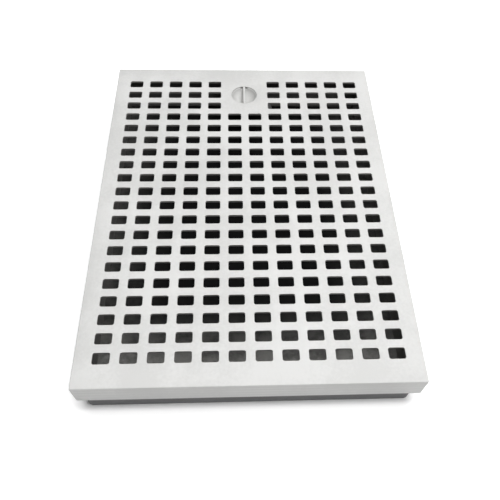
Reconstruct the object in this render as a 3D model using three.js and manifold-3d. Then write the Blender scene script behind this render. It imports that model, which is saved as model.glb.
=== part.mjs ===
// Queen excluder cage: a slotted cover hinged on a closed tray, with a quarter-turn latch.
// Millimetres, +Z up. The origin is under the middle of the tray, on the table.
// The hinge is at the front (-Y), and the latch is near the back (+Y).
import * as THREE from 'three';
import { mergeVertices } from 'three/addons/utils/BufferGeometryUtils.js';
import Module from 'manifold-3d';

// Slots: a worker bee fits through the 4.2 mm side, and a queen doesn't.
const COLUMNS = 12;
const ROWS = 20;
const COLUMN_PITCH = 9.8;
const ROW_PITCH = 7.75;
const SLOT_WIDTH = 6.1;
const SLOT_DEPTH = 4.2;
const SLOT_CHAMFER = 0.6;
const PAD_ROWS = 3; // rows at the back where the two middle columns stay solid
const PAD_COLUMNS = [5, 6];

// Cover: a flat plate with a skirt around it.
const COVER_WIDTH = 13 * COLUMN_PITCH;
const COVER_LENGTH = 170;
const COVER_TOP = 23;
const PLATE_THICKNESS = 1.2;
const SKIRT_HEIGHT = 11.7;
const SKIRT_WALL = 1.4;
const PLATE_UNDERSIDE = COVER_TOP - PLATE_THICKNESS;
const SKIRT_BOTTOM = COVER_TOP - SKIRT_HEIGHT;

// Tray: it stands inside the skirt, with more room at the back for the cover to swing.
const SIDE_CLEARANCE = 0.4;
const BACK_CLEARANCE = 1.0;
const RIM_GAP = 0.3;
const TRAY_WALL = 1.6;
const TRAY_FLOOR = 2;
const TRAY_CORNER = 2;
const TRAY_HALF_WIDTH = COVER_WIDTH / 2 - SKIRT_WALL - SIDE_CLEARANCE;
const TRAY_FRONT = -COVER_LENGTH / 2 + SKIRT_WALL + SIDE_CLEARANCE;
const TRAY_BACK = COVER_LENGTH / 2 - SKIRT_WALL - BACK_CLEARANCE;
const TRAY_HEIGHT = PLATE_UNDERSIDE - RIM_GAP;

// Hinge: one pin in each front corner, below the skirt and just behind its inner face.
const PIN_RADIUS = 1.0;
const PIN_Y = -COVER_LENGTH / 2 + SKIRT_WALL + 2.5;
const PIN_Z = SKIRT_BOTTOM - 3.5;
const PIN_INNER_END = 56;
const PIN_HEAD_RADIUS = 1.8;
const PIN_HEAD_HEIGHT = 0.6;
const HEAD_GAP = 0.3; // between the pin's head and the ear, and past the pin's inner end
const EAR_RADIUS = 2.4;
const EAR_BORE = 1.3;
const TRAY_BORE = 1.25;
const BOSS_DEPTH = 3.6;
const BOSS_TOP = 11;
const BOSS_INNER_END = 54.5;

// Latch: everything turns about a vertical axis through the middle of the solid pad.
const LATCH_Y = (ROWS / 2 - 1.5) * ROW_PITCH;
const RECESS_RADIUS = 6.2;
const DISH_DEPTH = 3.8; // the knob's dish at its middle, below the cover's top
const DISH_RIM_DEPTH = 0.2;
const POCKET_WALL = 1.6;
const POCKET_FLOOR = 1.6;
const KNOB_RADIUS = 5.9;
const KNOB_DISC = 1; // thickness under the dish's middle
const KNOB_BAR_WIDTH = 1.1;
const GROOVE_WIDTH = 1.2; // straight groove each side of the bar
const GROOVE_DEPTH = 1.1;
const SHAFT_RADIUS = 2.8;
const SHAFT_BORE = 3.1; // hole for the shaft in the pocket's floor and in the washer
const SHAFT_SQUARE = 3.9;
const SCREW_HOLE = 1.4;
const SCREW_RADIUS = 1.1;
const SCREW_HEAD_RADIUS = 3.2;
const SCREW_HEAD_HEIGHT = 1.5;
const DRIVE_DEPTH = 0.8;
const DRIVE_RADIUS = 1.5;
const WASHER_RADIUS = 5.6;
const WASHER_THICKNESS = 0.4;
const WASHER_CONE = 0.3; // height that the washer's rim drops below its hole
const PAWL_THICKNESS = 2;
const PAWL_HUB = 4.5;
const PAWL_TIP = 3;
const PAWL_REACH = 14.2;
const LATCH_GAP = 0.3;
const KNOB_TOP = COVER_TOP - DISH_DEPTH;
const KNOB_RIM = COVER_TOP - DISH_RIM_DEPTH;
const KNOB_UNDERSIDE = KNOB_TOP - KNOB_DISC;
const POCKET_TOP = KNOB_UNDERSIDE - LATCH_GAP;
const POCKET_UNDERSIDE = POCKET_TOP - POCKET_FLOOR;
const WASHER_TOP = POCKET_UNDERSIDE - LATCH_GAP;
const PAWL_TOP = WASHER_TOP - WASHER_CONE - WASHER_THICKNESS - LATCH_GAP;
const PAWL_UNDERSIDE = PAWL_TOP - PAWL_THICKNESS;
const SHAFT_END = PAWL_UNDERSIDE + 0.2; // just inside the pawl, so that the screw clamps the pawl
const SCREW_TOP = PAWL_UNDERSIDE - LATCH_GAP;
const SCREW_END = POCKET_TOP - 1;

// Lip on the tray's back wall that the pawl turns under.
const LIP_WIDTH = 18;
const LIP_DEPTH = 3.4;
const LIP_HEIGHT = 2.5;
const LIP_UNDERSIDE = PAWL_TOP + 0.5;

const ROUND_SIDES = 32;
const SMALL_SIDES = 16;
const CORNER_STEPS = 4;
const DISH_STEPS = 5;
const HEXAGON = 6;

const wasm = await Module();
wasm.setup();

// ---- solids -------------------------------------------------------------------------------

function solid(geometry) {
  const bare = geometry.clone();
  bare.deleteAttribute('normal');
  bare.deleteAttribute('uv');
  const merged = mergeVertices(bare, 1e-4);
  return new wasm.Manifold(new wasm.Mesh({
    numProp: 3,
    vertProperties: new Float32Array(merged.attributes.position.array),
    triVerts: new Uint32Array(merged.index.array),
  }));
}

function surface(body) {
  const mesh = body.getMesh();
  const geometry = new THREE.BufferGeometry();
  geometry.setAttribute('position', new THREE.BufferAttribute(mesh.vertProperties, 3));
  geometry.setIndex(new THREE.BufferAttribute(mesh.triVerts, 1));
  const faceted = geometry.toNonIndexed();
  faceted.computeVertexNormals();
  return faceted;
}

function box(x0, x1, y0, y1, z0, z1) {
  const geometry = new THREE.BoxGeometry(x1 - x0, y1 - y0, z1 - z0);
  geometry.translate((x0 + x1) / 2, (y0 + y1) / 2, (z0 + z1) / 2);
  return solid(geometry);
}

function prism(shape, z0, z1) {
  const options = { depth: z1 - z0, bevelEnabled: false, curveSegments: CORNER_STEPS };
  const geometry = new THREE.ExtrudeGeometry(shape, options);
  geometry.translate(0, 0, z0);
  return solid(geometry);
}

function upright(radius, z0, z1, x, y, sides = ROUND_SIDES) {
  const geometry = new THREE.CylinderGeometry(radius, radius, z1 - z0, sides);
  geometry.rotateX(Math.PI / 2);
  geometry.translate(x, y, (z0 + z1) / 2);
  return solid(geometry);
}

// A cylinder along X, from near to far on one side of the middle (side is -1 or 1).
function crosswise(radius, side, near, far) {
  const geometry = new THREE.CylinderGeometry(radius, radius, far - near, SMALL_SIDES);
  geometry.rotateZ(Math.PI / 2);
  geometry.translate(side * (near + far) / 2, PIN_Y, PIN_Z);
  return solid(geometry);
}

// A box from near to far on one side of the middle.
function sideBox(side, near, far, y0, y1, z0, z1) {
  return side < 0 ? box(-far, -near, y0, y1, z0, z1) : box(near, far, y0, y1, z0, z1);
}

// ---- outlines -----------------------------------------------------------------------------

function rectangle(x0, x1, y0, y1) {
  const shape = new THREE.Shape();
  shape.moveTo(x0, y0);
  shape.lineTo(x1, y0);
  shape.lineTo(x1, y1);
  shape.lineTo(x0, y1);
  shape.closePath();
  return shape;
}

function roundedRectangle(x0, x1, y0, y1, radius) {
  const shape = new THREE.Shape();
  shape.moveTo(x0 + radius, y0);
  shape.absarc(x1 - radius, y0 + radius, radius, -Math.PI / 2, 0);
  shape.absarc(x1 - radius, y1 - radius, radius, 0, Math.PI / 2);
  shape.absarc(x0 + radius, y1 - radius, radius, Math.PI / 2, Math.PI);
  shape.absarc(x0 + radius, y0 + radius, radius, Math.PI, 1.5 * Math.PI);
  shape.closePath();
  return shape;
}

function slotOutline(centreX, centreY) {
  const halfWidth = SLOT_WIDTH / 2;
  const halfDepth = SLOT_DEPTH / 2;
  const straightX = halfWidth - SLOT_CHAMFER;
  const straightY = halfDepth - SLOT_CHAMFER;
  const corners = [
    [straightX, -halfDepth], [halfWidth, -straightY], [halfWidth, straightY], [straightX, halfDepth],
    [-straightX, halfDepth], [-halfWidth, straightY], [-halfWidth, -straightY], [-straightX, -halfDepth],
  ];
  return new THREE.Path(corners.map(([x, y]) => new THREE.Vector2(centreX + x, centreY + y)));
}

// ---- cover --------------------------------------------------------------------------------

function grid() {
  const plate = rectangle(-COVER_WIDTH / 2, COVER_WIDTH / 2, -COVER_LENGTH / 2, COVER_LENGTH / 2);
  for (let row = 0; row < ROWS; row += 1) {
    for (let column = 0; column < COLUMNS; column += 1) {
      const onPad = row < PAD_ROWS && PAD_COLUMNS.includes(column);
      if (!onPad) {
        const x = (column - (COLUMNS - 1) / 2) * COLUMN_PITCH;
        const y = ((ROWS - 1) / 2 - row) * ROW_PITCH;
        plate.holes.push(slotOutline(x, y));
      }
    }
  }
  return prism(plate, PLATE_UNDERSIDE, COVER_TOP);
}

function skirt() {
  const halfWidth = COVER_WIDTH / 2;
  const halfLength = COVER_LENGTH / 2;
  const ring = rectangle(-halfWidth, halfWidth, -halfLength, halfLength);
  ring.holes.push(rectangle(
    -halfWidth + SKIRT_WALL, halfWidth - SKIRT_WALL,
    -halfLength + SKIRT_WALL, halfLength - SKIRT_WALL,
  ));
  return prism(ring, SKIRT_BOTTOM, PLATE_UNDERSIDE + PLATE_THICKNESS / 2);
}

function ear(side) {
  const outer = COVER_WIDTH / 2;
  const inner = outer - SKIRT_WALL;
  const [front, back] = [PIN_Y - EAR_RADIUS, PIN_Y + EAR_RADIUS];
  const tab = sideBox(side, inner, outer, front, back, PIN_Z, SKIRT_BOTTOM + 1);
  return tab.add(crosswise(EAR_RADIUS, side, inner, outer));
}

function earBore(side) {
  return crosswise(EAR_BORE, side, COVER_WIDTH / 2 - 2 * SKIRT_WALL, COVER_WIDTH / 2 + SKIRT_WALL);
}

function excluderCover() {
  const pocket = upright(RECESS_RADIUS + POCKET_WALL, POCKET_UNDERSIDE, PLATE_UNDERSIDE + 1, 0, LATCH_Y);
  const recess = upright(RECESS_RADIUS, POCKET_TOP, COVER_TOP + 1, 0, LATCH_Y);
  const shaftHole = upright(SHAFT_BORE, POCKET_UNDERSIDE - 1, POCKET_TOP + 1, 0, LATCH_Y);
  const moulding = grid().add(skirt()).add(ear(-1)).add(ear(1)).add(pocket);
  return moulding.subtract(recess).subtract(shaftHole).subtract(earBore(-1)).subtract(earBore(1));
}

// ---- tray ---------------------------------------------------------------------------------

function pinBoss(side) {
  const outerEnd = TRAY_HALF_WIDTH - TRAY_WALL / 2;
  const front = TRAY_FRONT + TRAY_WALL / 2;
  return sideBox(side, BOSS_INNER_END, outerEnd, front, PIN_Y + BOSS_DEPTH / 2, TRAY_FLOOR / 2, BOSS_TOP);
}

function pinBore(side) {
  return crosswise(TRAY_BORE, side, PIN_INNER_END - HEAD_GAP, COVER_WIDTH / 2);
}

function baseTray() {
  const outline = roundedRectangle(-TRAY_HALF_WIDTH, TRAY_HALF_WIDTH, TRAY_FRONT, TRAY_BACK, TRAY_CORNER);
  const inside = roundedRectangle(
    -TRAY_HALF_WIDTH + TRAY_WALL, TRAY_HALF_WIDTH - TRAY_WALL,
    TRAY_FRONT + TRAY_WALL, TRAY_BACK - TRAY_WALL, TRAY_CORNER - TRAY_WALL,
  );
  const shell = prism(outline, 0, TRAY_HEIGHT).subtract(prism(inside, TRAY_FLOOR, TRAY_HEIGHT + 1));
  const innerBack = TRAY_BACK - TRAY_WALL;
  const lip = box(
    -LIP_WIDTH / 2, LIP_WIDTH / 2, innerBack - LIP_DEPTH, innerBack + TRAY_WALL / 2,
    LIP_UNDERSIDE, LIP_UNDERSIDE + LIP_HEIGHT,
  );
  const moulding = shell.add(lip).add(pinBoss(-1)).add(pinBoss(1));
  return moulding.subtract(pinBore(-1)).subtract(pinBore(1));
}

// ---- hinge pins ---------------------------------------------------------------------------

function hingePin(side) {
  const headStart = COVER_WIDTH / 2 + HEAD_GAP;
  const shank = crosswise(PIN_RADIUS, side, PIN_INNER_END, headStart + PIN_HEAD_HEIGHT / 2);
  const head = crosswise(PIN_HEAD_RADIUS, side, headStart, headStart + PIN_HEAD_HEIGHT);
  return shank.add(head);
}

// ---- latch: drawn about its own axis, then carried to the pad --------------------------------

// The dished disc: a flat underside, an upright edge, and a hollow that is part of a sphere.
function knobDisc() {
  const rise = KNOB_RIM - KNOB_TOP;
  const sphereRadius = (KNOB_RADIUS ** 2 + rise ** 2) / (2 * rise);
  const profile = [new THREE.Vector2(0, KNOB_UNDERSIDE), new THREE.Vector2(KNOB_RADIUS, KNOB_UNDERSIDE)];
  for (let step = DISH_STEPS; step >= 0; step -= 1) {
    const radius = KNOB_RADIUS * step / DISH_STEPS;
    const height = KNOB_TOP + sphereRadius - Math.sqrt(sphereRadius ** 2 - radius ** 2);
    profile.push(new THREE.Vector2(radius, height));
  }
  const geometry = new THREE.LatheGeometry(profile, ROUND_SIDES);
  geometry.rotateX(Math.PI / 2);
  return solid(geometry);
}

function latchKnob() {
  const halfBar = KNOB_BAR_WIDTH / 2;
  const halfGrooves = halfBar + GROOVE_WIDTH;
  const reach = KNOB_RADIUS + 1;
  const grooves = box(-halfGrooves, halfGrooves, -reach, reach, COVER_TOP - GROOVE_DEPTH, COVER_TOP + 1);
  const slab = box(-halfBar, halfBar, -KNOB_RADIUS, KNOB_RADIUS, KNOB_TOP - KNOB_DISC / 2, COVER_TOP);
  const bar = slab.intersect(upright(KNOB_RADIUS, KNOB_UNDERSIDE, COVER_TOP + 1, 0, 0));
  const shaft = upright(SHAFT_RADIUS, PAWL_TOP + LATCH_GAP, KNOB_UNDERSIDE + 1, 0, 0);
  const halfSquare = SHAFT_SQUARE / 2;
  const squareEnd = box(-halfSquare, halfSquare, -halfSquare, halfSquare, SHAFT_END, KNOB_UNDERSIDE);
  const screwHole = upright(SCREW_HOLE, SHAFT_END - 1, SCREW_END + LATCH_GAP, 0, 0, SMALL_SIDES);
  return knobDisc().subtract(grooves).add(bar).add(shaft).add(squareEnd).subtract(screwHole);
}

function latchPawl() {
  const tipCentre = PAWL_REACH - PAWL_TIP;
  const hub = upright(PAWL_HUB, PAWL_UNDERSIDE, PAWL_TOP, 0, 0);
  const arm = box(0, tipCentre, -PAWL_TIP, PAWL_TIP, PAWL_UNDERSIDE, PAWL_TOP);
  const tip = upright(PAWL_TIP, PAWL_UNDERSIDE, PAWL_TOP, tipCentre, 0);
  const halfHole = SHAFT_SQUARE / 2 + LATCH_GAP;
  const squareHole = box(-halfHole, halfHole, -halfHole, halfHole, PAWL_UNDERSIDE - 1, PAWL_TOP + 1);
  return hub.add(arm).add(tip).subtract(squareHole);
}

function latchSpringWasher() {
  const profile = [
    [SHAFT_BORE, WASHER_TOP],
    [SHAFT_BORE, WASHER_TOP - WASHER_THICKNESS],
    [WASHER_RADIUS, WASHER_TOP - WASHER_CONE - WASHER_THICKNESS],
    [WASHER_RADIUS, WASHER_TOP - WASHER_CONE],
    [SHAFT_BORE, WASHER_TOP],
  ];
  const geometry = new THREE.LatheGeometry(profile.map(([x, y]) => new THREE.Vector2(x, y)), ROUND_SIDES);
  geometry.rotateX(Math.PI / 2);
  return solid(geometry);
}

function latchScrew() {
  const head = upright(SCREW_HEAD_RADIUS, SCREW_TOP - SCREW_HEAD_HEIGHT, SCREW_TOP, 0, 0);
  const shank = upright(SCREW_RADIUS, SCREW_TOP - SCREW_HEAD_HEIGHT / 2, SCREW_END, 0, 0, SMALL_SIDES);
  const headBottom = SCREW_TOP - SCREW_HEAD_HEIGHT;
  const drive = upright(DRIVE_RADIUS, headBottom - 1, headBottom + DRIVE_DEPTH, 0, 0, HEXAGON);
  return head.add(shank).subtract(drive);
}

// ---- materials and assembly -----------------------------------------------------------------

function plastic(color, roughness) {
  return new THREE.MeshStandardMaterial({ color, roughness, metalness: 0 });
}

function steel() {
  return new THREE.MeshStandardMaterial({ color: 0xa9abad, roughness: 0.35, metalness: 1 });
}

function part(name, body, material) {
  const mesh = new THREE.Mesh(surface(body), material);
  mesh.name = name;
  return mesh;
}

const paleGrey = 0xe2e2e0;
const charcoal = 0x2c2d2e;

const latch = new THREE.Group();
latch.position.set(0, LATCH_Y, 0);
latch.add(
  part('latch_knob', latchKnob(), plastic(paleGrey, 0.55)),
  part('latch_pawl', latchPawl(), plastic(charcoal, 0.5)),
  part('latch_spring_washer', latchSpringWasher(), steel()),
  part('latch_screw', latchScrew(), steel()),
);

const queenExcluder = new THREE.Group();
queenExcluder.add(
  part('excluder_cover', excluderCover(), plastic(paleGrey, 0.55)),
  part('base_tray', baseTray(), plastic(charcoal, 0.6)),
  part('hinge_pin_left', hingePin(-1), steel()),
  part('hinge_pin_right', hingePin(1), steel()),
  latch,
);

export default queenExcluder;
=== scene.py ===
# %% [markdown]
# # A queen excluder on its own tray
# Worker bees walk through the slots of a queen excluder, and the queen is too thick to follow.
# This one is a shallow grid cover. It stands over a dark closed tray, swings on two steel pins
# at its front corners, and is held shut at the back by a quarter-turn knob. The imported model
# gives every size and every place, and this lesson makes the fine surfaces around it.

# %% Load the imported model
import math

import bmesh
import bpy
from mathutils import Matrix, Vector


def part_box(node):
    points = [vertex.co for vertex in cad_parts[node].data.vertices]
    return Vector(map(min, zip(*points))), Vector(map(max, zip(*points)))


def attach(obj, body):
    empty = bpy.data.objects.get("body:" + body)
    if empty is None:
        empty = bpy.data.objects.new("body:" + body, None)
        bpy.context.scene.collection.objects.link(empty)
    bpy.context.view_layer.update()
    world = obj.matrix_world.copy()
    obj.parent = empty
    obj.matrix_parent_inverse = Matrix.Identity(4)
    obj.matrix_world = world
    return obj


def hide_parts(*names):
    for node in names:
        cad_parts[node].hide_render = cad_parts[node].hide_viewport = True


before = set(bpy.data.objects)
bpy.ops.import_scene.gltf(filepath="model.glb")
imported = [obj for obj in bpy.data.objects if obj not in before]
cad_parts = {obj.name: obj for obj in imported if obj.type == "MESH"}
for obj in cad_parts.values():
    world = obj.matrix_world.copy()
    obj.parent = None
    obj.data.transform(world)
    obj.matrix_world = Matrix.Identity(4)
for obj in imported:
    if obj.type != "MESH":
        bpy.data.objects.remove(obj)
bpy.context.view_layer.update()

# %% [markdown]
# ## Sizes
# The shapes are drawn in millimetres and made metres at the end, because the numbers are
# easier to read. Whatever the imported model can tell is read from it. The rest are the
# maker's numbers: the slot that lets a worker through, and the spacing of the grid.

# %% Sizes in millimetres
MM = 0.001


def box_mm(node):
    low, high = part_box(node)
    return low / MM, high / MM


cover_low, cover_high = box_mm("excluder_cover")
tray_low, tray_high = box_mm("base_tray")
knob_low, knob_high = box_mm("latch_knob")
pin_low, pin_high = box_mm("hinge_pin_right")
pawl_low, pawl_high = box_mm("latch_pawl")
washer_low, washer_high = box_mm("latch_spring_washer")
screw_low, screw_high = box_mm("latch_screw")

COLUMNS, ROWS = 12, 20
COLUMN_PITCH, ROW_PITCH = 9.8, 7.75
SLOT_WIDTH, SLOT_DEPTH, SLOT_CORNER = 6.1, 4.2, 0.65
PAD_ROWS, PAD_COLUMNS = 3, (5, 6)
PLATE_THICKNESS, SKIRT_HEIGHT, SKIRT_WALL = 1.2, 11.7, 1.4

half_width = cover_high.x
half_length = cover_high.y
plate_top = cover_high.z
plate_underside = plate_top - PLATE_THICKNESS
skirt_bottom = plate_top - SKIRT_HEIGHT
latch_y = (knob_low.y + knob_high.y) / 2
pin_y, pin_z = (pin_low.y + pin_high.y) / 2, (pin_low.z + pin_high.z) / 2
print("cover half width and length:", round(half_width, 2), round(half_length, 2))
print("latch centre:", round(latch_y, 2), "pin axis:", round(pin_y, 2), round(pin_z, 2))

# %% [markdown]
# ## Drawing helpers
# A rounded rectangle is a single square whose corners are bevelled as vertices. Two closed
# shapes are joined or cut with a Boolean modifier that is used once and then applied, because
# a pocket in a wall is quicker to cut than to draw. A turned part is a profile that is spun.

# %% Closed shapes in millimetres
def moved(mesh, verts, x=0.0, y=0.0, z=0.0):
    bmesh.ops.translate(mesh, vec=(x, y, z), verts=verts)


def rotated(mesh, matrix):
    bmesh.ops.rotate(mesh, cent=(0, 0, 0), matrix=matrix, verts=mesh.verts)


def block(x0, x1, y0, y1, z0, z1):
    mesh = bmesh.new()
    verts = bmesh.ops.create_cube(mesh, size=1.0)["verts"]
    bmesh.ops.scale(mesh, vec=(x1 - x0, y1 - y0, z1 - z0), verts=verts)
    moved(mesh, verts, (x0 + x1) / 2, (y0 + y1) / 2, (z0 + z1) / 2)
    return mesh


def turned(profile, sides):
    """A solid of revolution about Z. The profile is a list of (radius, height) points."""
    mesh = bmesh.new()
    verts = [mesh.verts.new((radius, 0.0, height)) for radius, height in profile]
    edges = [mesh.edges.new(pair) for pair in zip(verts, verts[1:])]
    bmesh.ops.spin(
        mesh, geom=verts + edges, cent=(0, 0, 0), axis=(0, 0, 1),
        steps=sides, angle=2 * math.pi, use_merge=True,
    )
    bmesh.ops.remove_doubles(mesh, verts=mesh.verts, dist=1e-4)
    bmesh.ops.recalc_face_normals(mesh, faces=mesh.faces)
    return mesh


def ring_profile(inner, outer, low, high, edge, steps=3):
    """The closed outline of a ring or, with inner 0, of a disc, with rounded outer edges."""
    points = [(inner, low)]
    for centre_z, start in ((low + edge, -math.pi / 2), (high - edge, 0.0)):
        for step in range(steps + 1):
            angle = start + step / steps * math.pi / 2
            points.append((outer - edge + edge * math.cos(angle), centre_z + edge * math.sin(angle)))
    points.append((inner, high))
    if inner > 0:
        points.append((inner, low))
    return points


def rounded_face(mesh, half_x, half_y, radius, steps, z=0.0):
    verts = bmesh.ops.create_grid(mesh, x_segments=1, y_segments=1, size=1.0)["verts"]
    bmesh.ops.scale(mesh, vec=(half_x, half_y, 1.0), verts=verts)
    moved(mesh, verts, z=z)
    bmesh.ops.bevel(
        mesh, geom=verts, affect="VERTICES", offset=radius, segments=steps, profile=0.5, material=-1,
    )
    return mesh.faces[:]


def raised(mesh, faces, height):
    """Pushes faces along Z and leaves walls behind them. Returns the faces at the far end."""
    made = bmesh.ops.extrude_face_region(mesh, geom=faces)["geom"]
    moved(mesh, [part for part in made if isinstance(part, bmesh.types.BMVert)], z=height)
    return [part for part in made if isinstance(part, bmesh.types.BMFace)]


def softened(mesh, edges, width, steps=3):
    bmesh.ops.bevel(
        mesh, geom=edges, affect="EDGES", offset=width, segments=steps, profile=0.5, material=-1,
        clamp_overlap=True,
    )


# %% Join and cut
def scratch(mesh):
    data = bpy.data.meshes.new("scratch")
    mesh.to_mesh(data)
    shape = bpy.data.objects.new("scratch", data)
    bpy.context.scene.collection.objects.link(shape)
    return shape


def combined(body, tool, operation):
    """The union, difference or intersection of two closed meshes, as a new mesh."""
    target, other = scratch(body), scratch(tool)
    modifier = target.modifiers.new("combine", "BOOLEAN")
    modifier.operation = operation
    modifier.solver = "MANIFOLD"
    modifier.object = other
    depsgraph = bpy.context.evaluated_depsgraph_get()
    data = bpy.data.meshes.new_from_object(target.evaluated_get(depsgraph))
    result = bmesh.new()
    result.from_mesh(data)
    for used in (target, other):
        leftover = used.data
        bpy.data.objects.remove(used)
        bpy.data.meshes.remove(leftover)
    bpy.data.meshes.remove(data)
    body.free()
    tool.free()
    return result


# %% Finish a piece
def piece(name, mesh, body, node, material, sharp_angle=35):
    """Makes the drawn mesh an object that rides on a CAD body and stands for a CAD node."""
    bmesh.ops.scale(mesh, vec=(MM, MM, MM), verts=mesh.verts)
    for face in mesh.faces:
        face.smooth = True
    for edge in mesh.edges:
        edge.smooth = edge.calc_face_angle(math.pi) < math.radians(sharp_angle)
    open_edges = sum(1 for edge in mesh.edges if len(edge.link_faces) != 2)
    data = bpy.data.meshes.new(name)
    mesh.to_mesh(data)
    mesh.free()
    shape = bpy.data.objects.new(name, data)
    bpy.context.scene.collection.objects.link(shape)
    shape.data.materials.append(material)
    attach(shape, body)
    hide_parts(node)
    print(f"{name}: {len(data.polygons)} faces, {open_edges} open edges")
    return shape


# %% [markdown]
# ## Surface effects
# Three effects are shared, so each is a node group that puts out a mask or a height. Grain is
# the fine texture that a spark-eroded mould leaves. Edge wear finds the edges by comparing the
# surface's direction with a rounded copy of it. Dust lies on whatever faces up.

# %% Node helpers
def add(tree, kind, inputs=None, **settings):
    made = tree.nodes.new(kind)
    for name, value in settings.items():
        setattr(made, name, value)
    for name, value in (inputs or {}).items():
        made.inputs[name].default_value = value
    return made


def math_node(tree, operation, first, second=0.5, clamp=False):
    made = add(tree, "ShaderNodeMath", operation=operation, use_clamp=clamp)
    for socket, value in zip(made.inputs, (first, second)):
        if isinstance(value, (int, float)):
            socket.default_value = value
        else:
            tree.links.new(value, socket)
    return made.outputs[0]


def ramp(tree, value, low, high, low_out=0.0, high_out=1.0):
    """A smooth change from low_out to high_out as value goes from low to high."""
    made = add(tree, "ShaderNodeMapRange", interpolation_type="SMOOTHSTEP")
    tree.links.new(value, made.inputs["Value"])
    for name, number in zip(("From Min", "From Max", "To Min", "To Max"), (low, high, low_out, high_out)):
        made.inputs[name].default_value = number
    return made.outputs["Result"]


def noise(tree, coordinates, scale, detail=2.0, roughness=0.5):
    made = add(tree, "ShaderNodeTexNoise", {"Scale": scale, "Detail": detail, "Roughness": roughness})
    tree.links.new(coordinates, made.inputs["Vector"])
    return made.outputs["Fac"]


def new_group(name, inputs, outputs):
    group = bpy.data.node_groups.new(name, "ShaderNodeTree")
    for label, value in inputs.items():
        socket = group.interface.new_socket(name=label, in_out="INPUT", socket_type="NodeSocketFloat")
        socket.default_value = value
    for label in outputs:
        group.interface.new_socket(name=label, in_out="OUTPUT", socket_type="NodeSocketFloat")
    return group, group.nodes.new("NodeGroupInput"), group.nodes.new("NodeGroupOutput")


# %% Grain
CLOUDS_PER_METRE, SPECKLES_PER_METRE = 38.0, 900.0


def grain_group():
    group, given, result = new_group("mould_grain", {"Grain Per Metre": 4000.0}, ("Height", "Tone"))
    place = add(group, "ShaderNodeTexCoord").outputs["Object"]
    fine = add(group, "ShaderNodeTexNoise", {"Detail": 3.0, "Roughness": 0.6})
    group.links.new(place, fine.inputs["Vector"])
    group.links.new(given.outputs["Grain Per Metre"], fine.inputs["Scale"])
    cloudy = noise(group, place, CLOUDS_PER_METRE, detail=4.0, roughness=0.55)
    speckle = noise(group, place, SPECKLES_PER_METRE)
    tone = math_node(group, "ADD", math_node(group, "MULTIPLY", cloudy, 0.75),
                     math_node(group, "MULTIPLY", speckle, 0.25))
    group.links.new(fine.outputs["Fac"], result.inputs["Height"])
    group.links.new(tone, result.inputs["Tone"])
    return group


# %% Edge wear
SCUFFS_PER_METRE = 260.0


def edge_group():
    group, given, result = new_group("edge_wear", {"Radius": 0.0004}, ("Mask",))
    rounded = add(group, "ShaderNodeBevel", samples=4)
    group.links.new(given.outputs["Radius"], rounded.inputs["Radius"])
    true_normal = add(group, "ShaderNodeNewGeometry").outputs["Normal"]
    alike = add(group, "ShaderNodeVectorMath", operation="DOT_PRODUCT")
    group.links.new(rounded.outputs["Normal"], alike.inputs[0])
    group.links.new(true_normal, alike.inputs[1])
    edge = ramp(group, alike.outputs["Value"], 0.99, 0.80)
    place = add(group, "ShaderNodeTexCoord").outputs["Object"]
    broken = ramp(group, noise(group, place, SCUFFS_PER_METRE, detail=3.0), 0.35, 0.6)
    group.links.new(math_node(group, "MULTIPLY", edge, broken), result.inputs["Mask"])
    return group


# %% Dust
DUST_PATCHES_PER_METRE = 120.0


def dust_group():
    group, given, result = new_group("settled_dust", {"Amount": 0.5}, ("Mask",))
    facing = add(group, "ShaderNodeSeparateXYZ")
    group.links.new(add(group, "ShaderNodeNewGeometry").outputs["Normal"], facing.inputs[0])
    upward = ramp(group, facing.outputs["Z"], 0.5, 0.95)
    place = add(group, "ShaderNodeTexCoord").outputs["Object"]
    patches = noise(group, place, DUST_PATCHES_PER_METRE, detail=5.0, roughness=0.65)
    patchy = ramp(group, patches, 0.30, 0.62, 0.45, 1.0)
    dusty = math_node(group, "MULTIPLY", upward, patchy)
    group.links.new(math_node(group, "MULTIPLY", dusty, given.outputs["Amount"]), result.inputs["Mask"])
    return group


mould_grain = grain_group()
edge_wear = edge_group()
settled_dust = dust_group()
print("effects:", [group.name for group in (mould_grain, edge_wear, settled_dust)])

# %% [markdown]
# ## Finishes
# The cover is a light grey plastic with a low satin sheen. Its skirt has faint level lines,
# as such walls have. The walls of the slots and the steep faces of the knob's dish and bar
# are painted dark grey: painted shade. The tray is the same plastic in charcoal. Inside it,
# the floor is painted near black as painted shade, the walls lighter as painted light, and
# pale dust is painted heavier along the front and side walls as painted light. The small
# latch and hinge parts are plain steel with turning marks.

# %% Material helpers
def new_material(name):
    material = bpy.data.materials.new(name)
    material.use_nodes = True
    shader = material.node_tree.nodes["Principled BSDF"]
    return material, material.node_tree, shader


def use_group(tree, group, **inputs):
    made = add(tree, "ShaderNodeGroup", node_tree=group)
    for name, value in inputs.items():
        made.inputs[name.replace("_", " ")].default_value = value
    return made


def blended(tree, factor, first, second):
    """A colour that goes from first to second. Each may be a colour or a socket."""
    made = add(tree, "ShaderNodeMix", data_type="RGBA")
    tree.links.new(factor, made.inputs["Factor"])
    for socket, value in zip((made.inputs["A"], made.inputs["B"]), (first, second)):
        if isinstance(value, tuple):
            socket.default_value = value + (1.0,)
        else:
            tree.links.new(value, socket)
    return made.outputs["Result"]


def object_place(tree):
    split = add(tree, "ShaderNodeSeparateXYZ")
    tree.links.new(add(tree, "ShaderNodeTexCoord").outputs["Object"], split.inputs[0])
    return split.outputs


def level_lines(tree, spacing):
    """A height that rises and falls with Z, like the faint lines of a layered wall."""
    height = object_place(tree)["Z"]
    return math_node(tree, "SINE", math_node(tree, "MULTIPLY", height, 2 * math.pi / spacing))


def bumped(tree, shader, height, distance, strength):
    bump = add(tree, "ShaderNodeBump", {"Strength": strength, "Distance": distance})
    tree.links.new(height, bump.inputs["Height"])
    tree.links.new(bump.outputs["Normal"], shader.inputs["Normal"])


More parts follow.
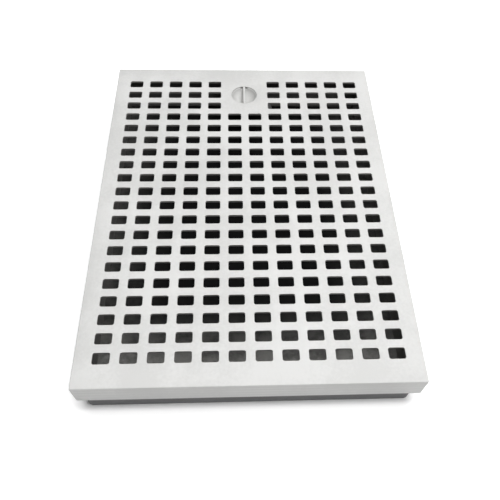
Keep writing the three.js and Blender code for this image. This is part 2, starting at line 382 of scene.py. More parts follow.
def steepness(tree):
    """1 on an upright wall and 0 on a level face."""
    facing = add(tree, "ShaderNodeSeparateXYZ")
    tree.links.new(add(tree, "ShaderNodeNewGeometry").outputs["Normal"], facing.inputs[0])
    return ramp(tree, math_node(tree, "ABSOLUTE", facing.outputs["Z"]), 0.8, 0.2)


# %% Cover plastic
COVER_GREY = (0.62, 0.62, 0.61)
COVER_SHADE = (0.555, 0.555, 0.545)
COVER_WORN = (0.69, 0.69, 0.68)
# The next colour is painted shade for the slots' walls and the knob's dish and bar.
SLOT_PAINTED_SHADE = (0.20, 0.195, 0.185)
LEVEL_SPACING = 0.0026


def slot_painted_shade_mask(tree):
    """A mask of painted shade on upright faces below the plate's top within the grid's field: the slots'
    walls, and also the knob's dish and bar.
    """
    place = object_place(tree)
    field = math_node(tree, "LESS_THAN", math_node(tree, "ABSOLUTE", place["X"]), (half_width - 5) * MM)
    rows = math_node(tree, "LESS_THAN", math_node(tree, "ABSOLUTE", place["Y"]), (half_length - 6) * MM)
    depth = ramp(tree, place["Z"], (plate_top - 0.1) * MM, (plate_top - 0.35) * MM)
    inside = math_node(tree, "MULTIPLY", math_node(tree, "MULTIPLY", field, rows), depth)
    return math_node(tree, "MULTIPLY", inside, steepness(tree))


def cover_plastic():
    material, tree, shader = new_material("satin_grey_moulding")
    grain = use_group(tree, mould_grain, Grain_Per_Metre=5200.0)
    worn = use_group(tree, edge_wear, Radius=0.0004)
    tone = ramp(tree, grain.outputs["Tone"], 0.38, 0.62)
    colour = blended(tree, tone, COVER_SHADE, COVER_GREY)
    lines = math_node(tree, "MULTIPLY", level_lines(tree, LEVEL_SPACING), steepness(tree))
    colour = blended(tree, ramp(tree, lines, 0.0, 1.0, 0.0, 0.6), colour, COVER_SHADE)
    colour = blended(tree, math_node(tree, "MULTIPLY", worn.outputs["Mask"], 0.5), colour, COVER_WORN)
    # Painted shade: the slots' walls and the knob's dish and bar are darkened here.
    colour = blended(tree, math_node(tree, "MULTIPLY", slot_painted_shade_mask(tree), 0.85), colour, SLOT_PAINTED_SHADE)
    tree.links.new(colour, shader.inputs["Base Color"])
    rough = ramp(tree, grain.outputs["Tone"], 0.3, 0.7, 0.40, 0.52)
    polished = math_node(tree, "MULTIPLY", worn.outputs["Mask"], 0.12)
    tree.links.new(math_node(tree, "SUBTRACT", rough, polished), shader.inputs["Roughness"])
    height = math_node(tree, "ADD", grain.outputs["Height"], math_node(tree, "MULTIPLY", lines, 0.35))
    bumped(tree, shader, height, 0.00006, 0.45)
    shader.inputs["Specular IOR Level"].default_value = 0.42
    return material


# %% Tray plastic
TRAY_CHARCOAL = (0.116, 0.117, 0.119)
TRAY_SHADE = (0.090, 0.091, 0.093)
TRAY_WORN = (0.17, 0.17, 0.17)
# Pale dust. Inside the tray it also carries painted light along the walls.
PALE_DUST_AND_PAINTED_LIGHT = (0.36, 0.355, 0.34)


def tray_plastic():
    material, tree, shader = new_material("charcoal_moulding")
    grain = use_group(tree, mould_grain, Grain_Per_Metre=3600.0)
    worn = use_group(tree, edge_wear, Radius=0.0005)
    dust = use_group(tree, settled_dust, Amount=0.06)
    colour = blended(tree, grain.outputs["Tone"], TRAY_SHADE, TRAY_CHARCOAL)
    colour = blended(tree, math_node(tree, "MULTIPLY", worn.outputs["Mask"], 0.5), colour, TRAY_WORN)
    colour = blended(tree, dust.outputs["Mask"], colour, PALE_DUST_AND_PAINTED_LIGHT)
    tree.links.new(colour, shader.inputs["Base Color"])
    tree.links.new(ramp(tree, grain.outputs["Tone"], 0.3, 0.7, 0.44, 0.58), shader.inputs["Roughness"])
    lines = math_node(tree, "MULTIPLY", level_lines(tree, LEVEL_SPACING), steepness(tree))
    height = math_node(tree, "ADD", grain.outputs["Height"], math_node(tree, "MULTIPLY", lines, 0.3))
    bumped(tree, shader, height, 0.00006, 0.5)
    shader.inputs["Specular IOR Level"].default_value = 0.45
    return material


# %% Tray inside
# The hollow's floor colour is painted shade, far darker than the same plastic outside, and its wall
# colour below is painted light.
HOLLOW_FLOOR_PAINTED_SHADE = (0.010, 0.010, 0.0105)
HOLLOW_SHADE = (0.007, 0.007, 0.0072)
HOLLOW_WALL_PAINTED_LIGHT = (0.20, 0.198, 0.19)
# Where the painted light along the side and front walls begins.
SIDE_PAINTED_LIGHT_START, FRONT_PAINTED_LIGHT_START = 25.0, -28.0


def power(tree, value, exponent):
    return math_node(tree, "POWER", value, exponent)


def linear(tree, value, low, high):
    made = add(tree, "ShaderNodeMapRange", {"From Min": low, "From Max": high})
    tree.links.new(value, made.inputs["Value"])
    return made.outputs["Result"]


def painted_light_along_walls(tree):
    """Painted light: a mask that grows towards the side walls, and most of all towards the front wall,
    carried on pale dust.
    """
    place = object_place(tree)
    across = math_node(tree, "ABSOLUTE", place["X"])
    side = linear(tree, across, SIDE_PAINTED_LIGHT_START * MM, tray_high.x * MM)
    front = linear(tree, place["Y"], FRONT_PAINTED_LIGHT_START * MM, (tray_low.y + 16) * MM)
    along_sides = math_node(tree, "MULTIPLY", power(tree, side, 3.0), 0.35)
    return math_node(tree, "ADD", along_sides, power(tree, front, 3.5), clamp=True)


def tray_inside():
    material, tree, shader = new_material("hollow_painted_shade_and_dust")
    grain = use_group(tree, mould_grain, Grain_Per_Metre=3600.0)
    dust = use_group(tree, settled_dust, Amount=0.9)
    colour = blended(tree, grain.outputs["Tone"], HOLLOW_SHADE, HOLLOW_FLOOR_PAINTED_SHADE)
    colour = blended(tree, steepness(tree), colour, HOLLOW_WALL_PAINTED_LIGHT)
    # Pale dust, painted heavier near the walls as painted light.
    dust_and_painted_light = math_node(tree, "MULTIPLY", dust.outputs["Mask"], painted_light_along_walls(tree))
    tree.links.new(blended(tree, dust_and_painted_light, colour, PALE_DUST_AND_PAINTED_LIGHT), shader.inputs["Base Color"])
    tree.links.new(ramp(tree, grain.outputs["Tone"], 0.3, 0.7, 0.72, 0.86), shader.inputs["Roughness"])
    height = math_node(tree, "ADD", grain.outputs["Height"], math_node(tree, "MULTIPLY", dust_and_painted_light, 2.0))
    bumped(tree, shader, height, 0.00008, 0.5)
    shader.inputs["Specular IOR Level"].default_value = 0.12
    return material


# %% Steel
MARK_FREQUENCY = 24000.0


def steel(name, axis):
    """Turned steel. The marks run round the part, so they change along its axis."""
    material, tree, shader = new_material(name)
    grain = use_group(tree, mould_grain, Grain_Per_Metre=2500.0)
    worn = use_group(tree, edge_wear, Radius=0.0002)
    marks = math_node(tree, "SINE", math_node(tree, "MULTIPLY", object_place(tree)[axis], MARK_FREQUENCY))
    colour = blended(tree, grain.outputs["Tone"], (0.34, 0.35, 0.36), (0.50, 0.51, 0.52))
    colour = blended(tree, worn.outputs["Mask"], colour, (0.68, 0.69, 0.70))
    tree.links.new(colour, shader.inputs["Base Color"])
    tree.links.new(ramp(tree, grain.outputs["Tone"], 0.3, 0.7, 0.24, 0.38), shader.inputs["Roughness"])
    height = math_node(tree, "ADD", grain.outputs["Height"], math_node(tree, "MULTIPLY", marks, 0.4))
    bumped(tree, shader, height, 0.00002, 0.4)
    shader.inputs["Metallic"].default_value = 1.0
    return material


cover_finish = cover_plastic()
tray_finish = tray_plastic()
tray_inside_finish = tray_inside()
pin_finish = steel("turned_steel", "X")
latch_finish = steel("plated_steel", "Z")
finishes = (cover_finish, tray_finish, tray_inside_finish, pin_finish, latch_finish)
print("finishes:", [finish.name for finish in finishes])

# %% [markdown]
# ## The grid
# The real grid is one moulding, so the mesh is one closed skin. It could be cut slot by slot,
# but 234 cuts leave long thin faces. It is quicker and cleaner to draw one small cell, a slot
# with its share of the plate around it, copy it to every place, and weld the edges that meet.

# %% One cell of the grid
EDGE_BREAK = 0.14


def outline_edges(verts):
    return list({edge for vert in verts for edge in vert.link_edges if edge.is_boundary or edge.is_wire})


def slot_cell():
    """One slot: a rounded opening with broken top edges, and the plate around it."""
    cell = bmesh.new()
    lip = rounded_face(
        cell, SLOT_WIDTH / 2 + EDGE_BREAK, SLOT_DEPTH / 2 + EDGE_BREAK, SLOT_CORNER + EDGE_BREAK, 3,
        z=plate_top,
    )
    top_loop = list(lip[0].verts)
    bmesh.ops.inset_region(cell, faces=lip, thickness=EDGE_BREAK, depth=0.0)
    moved(cell, list(lip[0].verts), z=-EDGE_BREAK)
    floor = raised(cell, lip, plate_underside - plate_top + EDGE_BREAK)
    bottom_loop = list(floor[0].verts)
    bmesh.ops.delete(cell, geom=floor, context="FACES_ONLY")
    lip_height = plate_top - EDGE_BREAK
    inner = [face for face in cell.faces if all(abs(v.co.z - lip_height) < 1e-6 for v in face.verts)]
    bmesh.ops.delete(cell, geom=inner, context="FACES_ONLY")
    for loop, z in ((top_loop, plate_top), (bottom_loop, plate_underside)):
        corners = [
            cell.verts.new((x * COLUMN_PITCH / 2, y * ROW_PITCH / 2, z))
            for x, y in ((-1, -1), (1, -1), (1, 1), (-1, 1))
        ]
        frame_edges = [cell.edges.new(pair) for pair in zip(corners, corners[1:] + corners[:1])]
        loop_edges = [e for e in cell.edges if e.verts[0] in loop and e.verts[1] in loop]
        bmesh.ops.triangle_fill(cell, edges=frame_edges + loop_edges, use_beauty=True)
    return cell


def pad_cell():
    """A cell with no slot: the plate's top and underside only."""
    cell = bmesh.new()
    for z in (plate_top, plate_underside):
        verts = bmesh.ops.create_grid(cell, x_segments=1, y_segments=1, size=0.5)["verts"]
        bmesh.ops.scale(cell, vec=(COLUMN_PITCH, ROW_PITCH, 1.0), verts=verts)
        moved(cell, verts, z=z)
    return cell


def grid_field():
    """Every cell in its place, welded into one sheet with an open outer edge."""
    field = bmesh.new()
    kinds = {}
    for name, cell in (("slot", slot_cell()), ("pad", pad_cell())):
        data = bpy.data.meshes.new(name)
        cell.to_mesh(data)
        print(f"{name} cell: {len(cell.faces)} faces")
        cell.free()
        kinds[name] = data
    for row in range(ROWS):
        for column in range(COLUMNS):
            blank = row < PAD_ROWS and column in PAD_COLUMNS
            before = len(field.verts)
            field.from_mesh(kinds["pad" if blank else "slot"])
            field.verts.ensure_lookup_table()
            x = (column - (COLUMNS - 1) / 2) * COLUMN_PITCH
            y = ((ROWS - 1) / 2 - row) * ROW_PITCH
            moved(field, field.verts[before:], x, y)
    for data in kinds.values():
        bpy.data.meshes.remove(data)
    bmesh.ops.remove_doubles(field, verts=field.verts, dist=0.01)
    return field


# %% [markdown]
# ## The cover's shell
# From the sheet's open top edge the skin is drawn outwards and down in rings, as a potter
# pulls a wall: out to the plate's corner, down the skirt, round its foot, and back up the
# inside to the sheet's lower edge. Extruding the edge loop and resizing it does each step.

# %% Skirt and rims
EDGE_ROUND = 0.35


def ring_at(mesh, z):
    return [
        edge for edge in mesh.edges
        if edge.is_boundary and all(abs(vert.co.z - z) < 1e-3 for vert in edge.verts)
    ]


def cover_shell():
    shell = grid_field()
    field_x, field_y = COLUMNS * COLUMN_PITCH / 2, ROWS * ROW_PITCH / 2
    inner_x, inner_y = half_width - SKIRT_WALL, half_length - SKIRT_WALL
    rings = (
        (half_width, half_length, plate_top),
        (half_width, half_length, skirt_bottom),
        (inner_x, inner_y, skirt_bottom),
        (inner_x, inner_y, plate_underside),
        (field_x, field_y, plate_underside),
    )
    edges = ring_at(shell, plate_top)
    x, y, z = field_x, field_y, plate_top
    for next_x, next_y, next_z in rings:
        made = bmesh.ops.extrude_edge_only(shell, edges=edges)["geom"]
        verts = [part for part in made if isinstance(part, bmesh.types.BMVert)]
        edges = [part for part in made if isinstance(part, bmesh.types.BMEdge)]
        bmesh.ops.scale(shell, vec=(next_x / x, next_y / y, 1.0), verts=verts)
        moved(shell, verts, z=next_z - z)
        x, y, z = next_x, next_y, next_z
    bmesh.ops.remove_doubles(shell, verts=shell.verts, dist=0.01)
    bmesh.ops.recalc_face_normals(shell, faces=shell.faces)
    return shell


def outer_edges(mesh):
    """The cover's sharp outer edges: top rim, upright corners and the skirt's foot."""
    def on_outside(vert):
        return abs(abs(vert.co.x) - half_width) < 0.01 or abs(abs(vert.co.y) - half_length) < 0.01
    return [
        edge for edge in mesh.edges
        if len(edge.link_faces) == 2
        and all(on_outside(vert) for vert in edge.verts)
        and edge.calc_face_angle() > math.radians(60)
    ]


# %% [markdown]
# ## Ears, latch pocket and bores
# The two ears hang from the skirt's front corners and turn on the pins. The latch pocket is a
# round cup under the blank pad. Its mouth is slightly rounded, so the cutting tool is a turned
# shape that flares at the top.

# %% Build the cover
EAR_RADIUS, EAR_BORE = 2.4, 1.3
RECESS_RADIUS, POCKET_WALL, POCKET_FLOOR = 6.2, 1.6, 1.6
SHAFT_BORE, LATCH_GAP = 3.1, 0.3
MOUTH_ROUND = 0.15
DISH_DEPTH, DISH_RIM_DEPTH, KNOB_DISC = 3.8, 0.2, 1.0
knob_underside = plate_top - DISH_DEPTH - KNOB_DISC
pocket_top = knob_underside - LATCH_GAP
pocket_underside = pocket_top - POCKET_FLOOR


def crosswise(radius, x0, x1, sides=32):
    mesh = turned([(0, x0), (radius, x0), (radius, x1), (0, x1)], sides)
    rotated(mesh, Matrix.Rotation(math.pi / 2, 3, "Y"))
    moved(mesh, mesh.verts, y=pin_y, z=pin_z)
    return mesh


def ear(side):
    """A tab with a round foot, drawn flat, rounded at two corners and given its thickness."""
    mesh = bmesh.new()
    reach = skirt_bottom + SKIRT_WALL - pin_z
    verts = bmesh.ops.create_grid(mesh, x_segments=1, y_segments=1, size=0.5)["verts"]
    bmesh.ops.scale(mesh, vec=(2 * EAR_RADIUS, reach + EAR_RADIUS, 1.0), verts=verts)
    moved(mesh, verts, y=(reach - EAR_RADIUS) / 2)
    foot = [vert for vert in mesh.verts if vert.co.y < 0]
    bmesh.ops.bevel(
        mesh, geom=foot, affect="VERTICES", offset=EAR_RADIUS * 0.999, segments=8, profile=0.5,
        material=-1, clamp_overlap=False,
    )
    raised(mesh, mesh.faces[:], SKIRT_WALL)
    bmesh.ops.recalc_face_normals(mesh, faces=mesh.faces)
    rims = [edge for edge in mesh.edges if edge.calc_face_angle() > math.radians(60)]
    softened(mesh, [e for e in rims if abs(e.verts[0].co.z - e.verts[1].co.z) < 1e-4], 0.2, 2)
    stand = Matrix.Rotation(math.pi / 2, 3, "Z") @ Matrix.Rotation(math.pi / 2, 3, "X")
    rotated(mesh, stand)
    low = -half_width if side < 0 else half_width - SKIRT_WALL
    moved(mesh, mesh.verts, x=low, y=pin_y, z=pin_z)
    return mesh


def recess_tool():
    """The shape of the knob's opening, with a mouth that flares at the plate's top."""
    points = [(0, pocket_top), (RECESS_RADIUS, pocket_top)]
    for step in range(4):
        angle = step / 3 * math.pi / 2
        radius = RECESS_RADIUS + MOUTH_ROUND * (1 - math.cos(angle))
        points.append((radius, plate_top - MOUTH_ROUND + MOUTH_ROUND * math.sin(angle)))
    points += [(points[-1][0], plate_top + 1), (0, plate_top + 1)]
    return turned(points, 64)


def at_latch(mesh):
    moved(mesh, mesh.verts, y=latch_y)
    return mesh


def build_cover():
    body = cover_shell()
    softened(body, outer_edges(body), EDGE_ROUND, 3)
    for side in (-1, 1):
        body = combined(body, ear(side), "UNION")
    outer = RECESS_RADIUS + POCKET_WALL
    cup = ring_profile(0, outer, pocket_underside, plate_underside + 0.6, 0.4)
    body = combined(body, at_latch(turned(cup, 64)), "UNION")
    body = combined(body, at_latch(recess_tool()), "DIFFERENCE")
    shaft_hole = [(0, pocket_underside - 1), (SHAFT_BORE, pocket_underside - 1),
                  (SHAFT_BORE, pocket_top + 1), (0, pocket_top + 1)]
    body = combined(body, at_latch(turned(shaft_hole, 48)), "DIFFERENCE")
    for side in (-1, 1):
        reach = sorted((side * (half_width - 3), side * (half_width + 3)))
        body = combined(body, crosswise(EAR_BORE, *reach), "DIFFERENCE")
    return body


grid_cover = piece("grid_cover", build_cover(), "cover", "excluder_cover", cover_finish)

# %% [markdown]
# ## The tray
# The tray starts as one rounded rectangle. Raised to its full height, its top face is inset by
# the wall's thickness and pushed down to the floor, which is how a box is hollowed without a
# cut. The bosses for the pins and the lip for the pawl are joined on afterwards. The inside
# gets its own duller finish. Its floor is painted near black and its walls lighter, as painted
# shade and painted light, and pale dust is painted heavier along the walls as painted light.

# %% Build the tray
TRAY_WALL, TRAY_FLOOR, TRAY_CORNER, FOOT_ROUND = 1.6, 2.0, 2.0, 1.1
BOSS_INNER_END, BOSS_DEPTH, BOSS_TOP, TRAY_BORE, PIN_INNER_END = 54.5, 3.6, 11.0, 1.25, 56.0
LIP_WIDTH, LIP_DEPTH, LIP_HEIGHT = 18.0, 3.4, 2.5
lip_underside = pawl_high.z + 0.5


def tray_body():
    mesh = bmesh.new()
    centre_y = (tray_low.y + tray_high.y) / 2
    half_y = (tray_high.y - tray_low.y) / 2
    base = rounded_face(mesh, tray_high.x, half_y, TRAY_CORNER, 8, z=tray_low.z)
    rim = raised(mesh, base, tray_high.z - tray_low.z)
    bmesh.ops.inset_region(mesh, faces=rim, thickness=TRAY_WALL, depth=0.0)
    inside = raised(mesh, rim, TRAY_FLOOR - tray_high.z)
    bmesh.ops.delete(mesh, geom=[f for f in rim if f.is_valid], context="FACES_ONLY")
    moved(mesh, mesh.verts, y=centre_y)
    bmesh.ops.recalc_face_normals(mesh, faces=mesh.faces)
    level = [e for e in mesh.edges if abs(e.verts[0].co.z - e.verts[1].co.z) < 1e-4]
    corners = [e for e in level if e.calc_face_angle(0) > math.radians(60)]
    joint = [e for e in corners if abs(e.verts[0].co.z - TRAY_FLOOR) < 0.01]
    foot = [e for e in corners if abs(e.verts[0].co.z - tray_low.z) < 0.01]
    rims = [e for e in corners if e not in joint and e not in foot]
    softened(mesh, rims, 0.4, 3)
    softened(mesh, [e for e in foot if e.is_valid], FOOT_ROUND, 4)
    softened(mesh, [e for e in joint if e.is_valid], 0.3, 2)
    print("tray floor faces:", len(inside))
    return mesh


def rounded_block(x0, x1, y0, y1, z0, z1, edge):
    mesh = block(x0, x1, y0, y1, z0, z1)
    softened(mesh, mesh.edges[:], edge, 2)
    return mesh


def build_tray():
    body = tray_body()
    inner_back = tray_high.y - TRAY_WALL
    lip = rounded_block(
        -LIP_WIDTH / 2, LIP_WIDTH / 2, inner_back - LIP_DEPTH, inner_back + TRAY_WALL / 2,
        lip_underside, lip_underside + LIP_HEIGHT, 0.3,
    )
    body = combined(body, lip, "UNION")
    for side in (-1, 1):
        ends = sorted((side * BOSS_INNER_END, side * (tray_high.x - TRAY_WALL / 2)))
        boss = rounded_block(
            *ends, tray_low.y + TRAY_WALL / 2, pin_y + BOSS_DEPTH / 2, TRAY_FLOOR / 2, BOSS_TOP, 0.3,
        )
        body = combined(body, boss, "UNION")
        bore = sorted((side * (PIN_INNER_END - LATCH_GAP), side * (half_width + 1)))
        body = combined(body, crosswise(TRAY_BORE, *bore), "DIFFERENCE")
    return body


tray_shell = piece("tray_shell", build_tray(), "tray", "base_tray", tray_finish)
tray_shell.data.materials.append(tray_inside_finish)


def in_the_hollow(point):
    across = abs(point.x) < (tray_high.x - TRAY_WALL / 2) * MM
    along = (tray_low.y + TRAY_WALL / 2) * MM < point.y < (tray_high.y - TRAY_WALL / 2) * MM
    return across and along and point.z > TRAY_FLOOR / 2 * MM


for polygon in tray_shell.data.polygons:
    polygon.material_index = 1 if in_the_hollow(polygon.center) else 0
print("faces inside the tray:", sum(polygon.material_index for polygon in tray_shell.data.polygons))

# %% [markdown]
# ## Hinge pins
# Each pin is turned from rod: a shank with a small lead-in chamfer at its inner end and a low
# domed head outside the ear. One profile is spun and laid on its side, and the left pin is the
# right one turned half round, which keeps its faces pointing outwards.

# %% Build the pins
PIN_RADIUS, HEAD_RADIUS = 1.0, 1.8


def pin_profile():
    head = pin_high.x - 0.6
    return [
        (0, pin_low.x), (PIN_RADIUS - 0.3, pin_low.x), (PIN_RADIUS, pin_low.x + 0.4),
        (PIN_RADIUS, head), (HEAD_RADIUS - 0.1, head), (HEAD_RADIUS, head + 0.1),
        (HEAD_RADIUS, head + 0.3), (HEAD_RADIUS - 0.25, head + 0.48), (HEAD_RADIUS - 0.8, head + 0.58),
        (0, pin_high.x),
    ]


def build_pin(side):
    mesh = turned(pin_profile(), 40)
    rotated(mesh, Matrix.Rotation(side * math.pi / 2, 3, "Y"))
    moved(mesh, mesh.verts, y=pin_y, z=pin_z)
    return mesh


pivot_pin_left = piece("pivot_pin_left", build_pin(-1), "tray", "hinge_pin_left", pin_finish)
pivot_pin_right = piece("pivot_pin_right", build_pin(1), "tray", "hinge_pin_right", pin_finish)

# %% [markdown]
# ## The knob
# A fingertip fits in the knob's dish and pushes on the thin bar across it. The disc and shaft
# are one turned profile with the dish as an arc of a circle. A straight groove each side of the
# bar lets a nail reach its foot, so the grooves are cut first and the bar is joined on after. It
# is a rounded slab, trimmed to the disc's edge so that both ends follow the round opening.

# %% Build the knob
RING_GAP = 0.12
KNOB_RADIUS = RECESS_RADIUS - RING_GAP
BAR_WIDTH, GROOVE_WIDTH, GROOVE_DEPTH, SHAFT_RADIUS, SHAFT_SQUARE = 1.1, 1.2, 1.1, 2.8, 3.9
KNOB_CHAMFER = 0.2
SCREW_HOLE, SCREW_END = 1.4, pocket_top - 1
dish_floor = plate_top - DISH_DEPTH
dish_rim = plate_top - DISH_RIM_DEPTH


def dish_profile(steps=14):
    rise = dish_rim - dish_floor
    sphere = (KNOB_RADIUS ** 2 + rise ** 2) / (2 * rise)
    shoulder = pawl_high.z + LATCH_GAP
    points = [
        (0, shoulder), (SHAFT_RADIUS - KNOB_CHAMFER, shoulder), (SHAFT_RADIUS, shoulder + KNOB_CHAMFER),
        (SHAFT_RADIUS, knob_underside), (KNOB_RADIUS - KNOB_CHAMFER, knob_underside),
        (KNOB_RADIUS, knob_underside + KNOB_CHAMFER), (KNOB_RADIUS, dish_rim - 0.08),
    ]
    for step in range(steps, -1, -1):
        radius = (KNOB_RADIUS - 0.06) * step / steps
        points.append((radius, dish_floor + sphere - math.sqrt(sphere ** 2 - radius ** 2)))
    return points


def knob_bar():
    slab = block(
        -BAR_WIDTH / 2, BAR_WIDTH / 2, -KNOB_RADIUS - 1, KNOB_RADIUS + 1,
        dish_floor - KNOB_DISC / 2, plate_top,
    )
    top = [e for e in slab.edges if all(v.co.z > plate_top - 0.1 for v in e.verts)]
    softened(slab, [e for e in top if abs(e.verts[0].co.x - e.verts[1].co.x) < 1e-4], KNOB_CHAMFER, 3)
    rim = turned(ring_profile(0, KNOB_RADIUS, knob_underside + 0.5, plate_top + 0.5, 0.1), 96)
    return combined(slab, rim, "INTERSECT")


def build_knob():
    half_grooves = BAR_WIDTH / 2 + GROOVE_WIDTH
    reach = KNOB_RADIUS + 1
    grooves = block(-half_grooves, half_grooves, -reach, reach, plate_top - GROOVE_DEPTH, plate_top + 1)
    disc = combined(turned(dish_profile(), 96), grooves, "DIFFERENCE")
    body = combined(disc, knob_bar(), "UNION")
    half = SHAFT_SQUARE / 2
    square = rounded_block(-half, half, -half, half, knob_low.z, knob_underside, 0.25)
    body = combined(body, square, "UNION")
    hole = [(0, knob_low.z - 1), (SCREW_HOLE, knob_low.z - 1),
            (SCREW_HOLE, SCREW_END + LATCH_GAP), (0, SCREW_END + LATCH_GAP)]
    return at_latch(combined(body, turned(hole, 32), "DIFFERENCE"))


turn_knob = piece("turn_knob", build_knob(), "latch", "latch_knob", cover_finish, 40)

# %% [markdown]
# ## Pawl, washer and screw
# These sit under the cover and show only when it is open. The pawl is a flat arm with a square
# hole for the shaft. The washer is a shallow cone that presses the pawl down, so that the knob
# stays where it is turned. The screw has a domed head with a hexagon socket.

# %% Build the pawl
PAWL_HUB, PAWL_TIP = 4.5, 3.0


def build_pawl():
    reach = pawl_high.x
    low, high = pawl_low.z, pawl_high.z
    body = turned(ring_profile(0, PAWL_HUB, low, high, 0.3), 64)
    arm = rounded_block(0, reach - PAWL_TIP, -PAWL_TIP, PAWL_TIP, low, high, 0.3)
    tip = turned(ring_profile(0, PAWL_TIP, low, high, 0.3), 48)
    moved(tip, tip.verts, x=reach - PAWL_TIP)
    body = combined(combined(body, arm, "UNION"), tip, "UNION")
    half = SHAFT_SQUARE / 2 + LATCH_GAP
    return at_latch(combined(body, block(-half, half, -half, half, low - 1, high + 1), "DIFFERENCE"))


pawl_arm = piece("pawl_arm", build_pawl(), "latch", "latch_pawl", tray_finish)

# %% Build the washer and the screw
WASHER_THICKNESS, SCREW_RADIUS, HEAD_HEIGHT, SOCKET_DEPTH = 0.4, 1.1, 1.5, 0.8
SOCKET_RADIUS, WASHER_EDGE = 1.5, 0.08


def build_washer():
    outer = washer_high.x
    top, low = washer_high.z, washer_low.z
    profile = [
        (SHAFT_BORE, top), (SHAFT_BORE, top - WASHER_THICKNESS), (outer - WASHER_EDGE, low),
        (outer, low + WASHER_EDGE), (outer, low + WASHER_THICKNESS - WASHER_EDGE),
        (outer - WASHER_EDGE, low + WASHER_THICKNESS), (SHAFT_BORE, top),
    ]
    return at_latch(turned(profile, 64))


def build_screw():
    head = screw_low.z + HEAD_HEIGHT
    radius = screw_high.x
    profile = [
        (0, screw_low.z), (radius * 0.55, screw_low.z), (radius * 0.8, screw_low.z + 0.12),
        (radius * 0.94, screw_low.z + 0.4), (radius, screw_low.z + 0.8), (radius, head - 0.15),
        (radius - 0.15, head), (SCREW_RADIUS, head), (SCREW_RADIUS, screw_high.z - 0.3),
        (SCREW_RADIUS - 0.3, screw_high.z), (0, screw_high.z),
    ]
    socket = [(0, screw_low.z - 1), (SOCKET_RADIUS, screw_low.z - 1),
              (SOCKET_RADIUS, screw_low.z + SOCKET_DEPTH), (0, screw_low.z + SOCKET_DEPTH)]
    return at_latch(combined(turned(profile, 48), turned(socket, 6), "DIFFERENCE"))


cone_washer = piece("cone_washer", build_washer(), "latch", "latch_spring_washer", latch_finish)
socket_screw = piece("socket_screw", build_screw(), "latch", "latch_screw", latch_finish)

# %% [markdown]
# ## Studio
# The floor is a plain white sheet, lit a little more than the object, as a studio does for a
# clean ground. The eye sees that extra light, and the object doesn't get it. It fades out along
# the front wall, so the thin shadow there stays. A wide lamp hangs overhead, and one high behind
# the right shoulder puts the front wall and the back of each hollow in shade. A weak one near
# the front right makes that corner the brightest. The sky's own light is low, because the
# floor already sends much light up, but the eye sees the sky as pale.

# %% Floor and light
FLOOR_GLOW, FAR_GLOW = 0.32, 0.9
SKY_LIGHT, SKY_SEEN = 0.15, 1.0
FLOOR_REACH, FLOOR_DROP = 3.0, 0.0001
NEAR_SQUARED, FAR_SQUARED = 0.05, 1.2
SHADOW_FRONT, SHADOW_FRONT_FULL = -0.0862, -0.0832
SHADOW_BACK, SHADOW_BACK_FULL = -0.070, -0.083
SHADOW_END, SHADOW_END_FULL = 0.070, 0.061


def front_shadow(tree, spot):
    """A mask of the narrow band of floor along the front wall, which keeps its thin shadow."""
    front = ramp(tree, spot["Y"], SHADOW_FRONT, SHADOW_FRONT_FULL)
    back = ramp(tree, spot["Y"], SHADOW_BACK, SHADOW_BACK_FULL)
    ends = ramp(tree, math_node(tree, "ABSOLUTE", spot["X"]), SHADOW_END, SHADOW_END_FULL)
    return math_node(tree, "MULTIPLY", math_node(tree, "MULTIPLY", front, back), ends)


def studio_floor():
    mesh = bmesh.new()
    verts = bmesh.ops.create_grid(mesh, x_segments=1, y_segments=1, size=FLOOR_REACH)["verts"]
    moved(mesh, verts, z=-FLOOR_DROP)
    data = bpy.data.meshes.new("studio_floor")
    mesh.to_mesh(data)
    mesh.free()
    floor = bpy.data.objects.new("studio_floor", data)
    bpy.context.scene.collection.objects.link(floor)
    material, tree, shader = new_material("floor_paper")
    place = add(tree, "ShaderNodeTexCoord").outputs["Object"]
    colour = blended(tree, noise(tree, place, 6.0), (0.91, 0.91, 0.91), (0.94, 0.94, 0.94))
    tree.links.new(colour, shader.inputs["Base Color"])
    seen = add(tree, "ShaderNodeLightPath").outputs["Is Camera Ray"]
    shader.inputs["Emission Color"].default_value = (1.0, 1.0, 1.0, 1.0)
    spot = object_place(tree)
    clear = math_node(tree, "SUBTRACT", 1.0, front_shadow(tree, spot))
    away = math_node(
        tree, "ADD", math_node(tree, "MULTIPLY", spot["X"], spot["X"]),
        math_node(tree, "MULTIPLY", spot["Y"], spot["Y"]),
    )
    brighter = ramp(tree, away, NEAR_SQUARED, FAR_SQUARED, FLOOR_GLOW, FAR_GLOW)
    glow = math_node(tree, "MULTIPLY", clear, brighter)
    tree.links.new(math_node(tree, "MULTIPLY", seen, glow), shader.inputs["Emission Strength"])
    shader.inputs["Roughness"].default_value = 0.9
    shader.inputs["Specular IOR Level"].default_value = 0.1
    data.materials.append(material)
    return floor


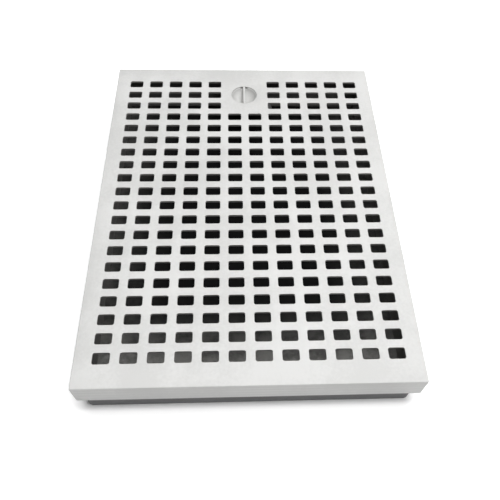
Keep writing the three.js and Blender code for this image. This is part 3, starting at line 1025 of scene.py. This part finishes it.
def soft_light(name, place, size, power):
    """A round lamp that looks at the middle of the object's base."""
    light = bpy.data.lights.new(name, "AREA")
    light.shape = "DISK"
    light.size = size
    light.energy = power
    lamp = bpy.data.objects.new(name, light)
    lamp.location = place
    lamp.rotation_euler = (Vector((0, 0, 0)) - Vector(place)).to_track_quat("-Z", "Y").to_euler()
    bpy.context.scene.collection.objects.link(lamp)
    return lamp


studio_floor()
world = bpy.data.worlds.new("studio_sky")
world.use_nodes = True
sky = world.node_tree
sky.nodes["Background"].inputs["Color"].default_value = (1.0, 1.0, 1.0, 1.0)
sky_seen = add(sky, "ShaderNodeLightPath").outputs["Is Camera Ray"]
sky_strength = ramp(sky, sky_seen, 0.0, 1.0, SKY_LIGHT, SKY_SEEN)
sky.links.new(sky_strength, sky.nodes["Background"].inputs["Strength"])
bpy.context.scene.world = world
soft_light("shoulder_light", (0.40, 0.70, 1.10), 0.7, 6.0)
soft_light("overhead_light", (0.0, 0.0, 1.3), 1.0, 11.2)
soft_light("near_light", (0.40, -0.30, 0.75), 0.5, 2.7)
bpy.context.scene.view_settings.view_transform = "Standard"
bpy.context.scene.view_settings.look = "None"

# %% [markdown]
# ## Camera
# The camera looks steeply down from in front, a little left of the middle, as a person who
# leans over the object would.

# %% Camera
CAMERA_PLACE = (-5.5, -154.5, 213.9)
CAMERA_YAW, CAMERA_PITCH, CAMERA_ROLL = -4.98, 56.28, 3.60
CAMERA_LENS, CAMERA_SHIFT = 40.37, -0.0234

camera = bpy.data.objects.new("camera", bpy.data.cameras.new("camera"))
camera.data.lens = CAMERA_LENS
camera.data.sensor_width = 36.0
camera.data.shift_x = CAMERA_SHIFT
camera.data.clip_start = 0.01
camera.data.clip_end = 20.0
turn = (
    Matrix.Rotation(math.radians(CAMERA_YAW), 4, "Z")
    @ Matrix.Rotation(math.radians(90 - CAMERA_PITCH), 4, "X")
    @ Matrix.Rotation(math.radians(CAMERA_ROLL), 4, "Z")
)
camera.matrix_world = Matrix.Translation(Vector(CAMERA_PLACE) * MM) @ turn
bpy.context.scene.collection.objects.link(camera)
bpy.context.scene.camera = camera
print("camera at", CAMERA_PLACE, "mm, lens", CAMERA_LENS)
